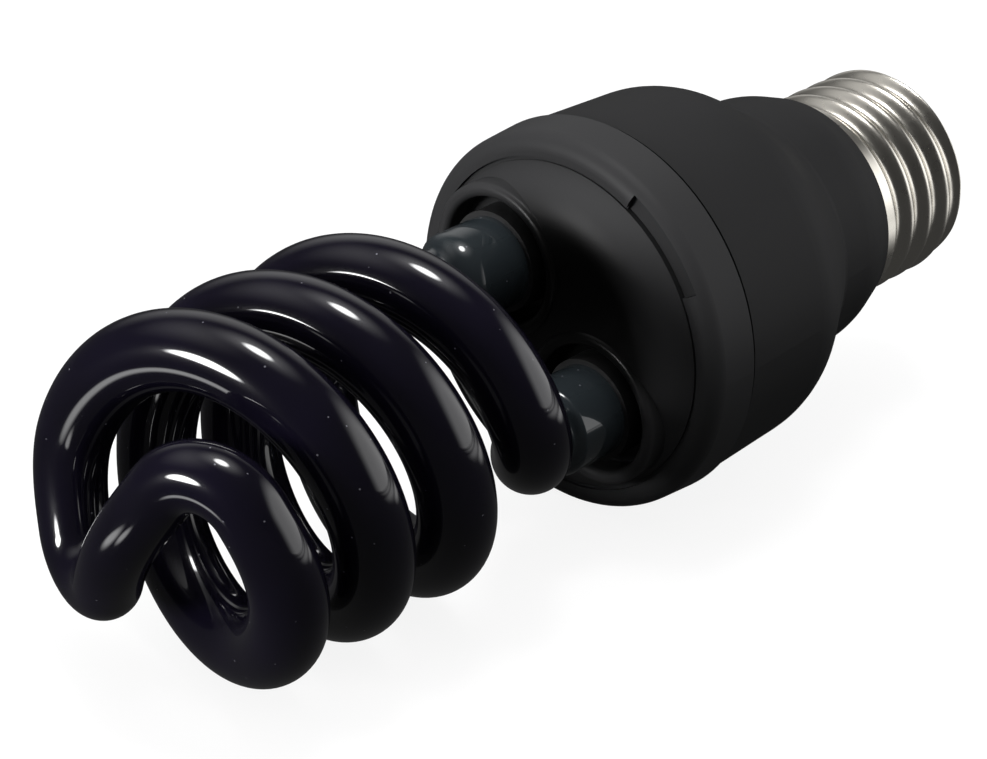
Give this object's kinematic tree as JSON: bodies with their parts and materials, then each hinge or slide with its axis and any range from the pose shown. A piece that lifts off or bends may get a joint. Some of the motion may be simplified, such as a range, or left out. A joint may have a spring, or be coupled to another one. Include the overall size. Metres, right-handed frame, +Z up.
{
  "type": "uv black light bulb",
  "caption": "Spiral ultraviolet lamp: a dark glass tube wound as a double spiral on a black two-part ballast housing, with a nickel-plated E27 screw cap.",
  "frame": {"origin": "middle of the overall box on the surface that the lamp lies on", "axes": "+X towards the cap's contact and -X towards the tip of the tube, along the lamp as it lies; +Z up; the tip is 2.5 degrees lower than a level axis would have it"},
  "size_m": [0.1367, 0.0462, 0.046],
  "materials": {
    "violet_black_glass": "polished, nearly opaque violet-black",
    "black_housing_plastic": "satin moulded",
    "nickel_plated_sheet": "bright nickel plating on rolled sheet",
    "black_cap_glass": "black fused glass",
    "tinned_brass": "tinned",
    "black_silicone": "cured sealant",
    "board_laminate": "phenolic laminate",
    "capacitor_sleeve": "shrunk sleeve",
    "film_capacitor_coat": "dipped epoxy",
    "moulded_epoxy": "moulded epoxy",
    "resistor_lacquer": "lacquered",
    "ferrite": "sintered ferrite",
    "bobbin_plastic": "moulded",
    "enamelled_copper": "enamelled copper wire",
    "tinned_wire": "tinned copper wire"
  },
  "bodies": {
    "root": {"spiral_tube": "violet_black_glass", "tube_cover": "black_housing_plastic", "ballast_housing": "black_housing_plastic", "screw_shell": "nickel_plated_sheet", "cap_insulator": "black_cap_glass", "centre_contact": "tinned_brass", "tube_seal_1": "black_silicone", "tube_seal_2": "black_silicone", "circuit_board": "board_laminate", "storage_capacitor": "capacitor_sleeve", "resonant_capacitor": "film_capacitor_coat", "blocking_capacitor": "film_capacitor_coat", "transistor_1": "moulded_epoxy", "transistor_2": "moulded_epoxy", "rectifier_diode_1": "moulded_epoxy", "rectifier_diode_2": "moulded_epoxy", "rectifier_diode_3": "moulded_epoxy", "rectifier_diode_4": "moulded_epoxy", "resistor_1": "resistor_lacquer", "resistor_2": "resistor_lacquer", "fusible_resistor": "resistor_lacquer", "choke_core": "ferrite", "choke_bobbin": "bobbin_plastic", "choke_winding": "enamelled_copper", "drive_ring": "ferrite", "drive_winding_1": "enamelled_copper", "drive_winding_2": "enamelled_copper", "drive_winding_3": "enamelled_copper", "tube_lead_1": "tinned_wire", "tube_lead_2": "tinned_wire", "tube_lead_3": "tinned_wire", "tube_lead_4": "tinned_wire", "contact_lead_upper": "tinned_wire", "contact_lead_lower": "tinned_wire", "shell_lead": "tinned_wire"}
  },
  "joints": []
}
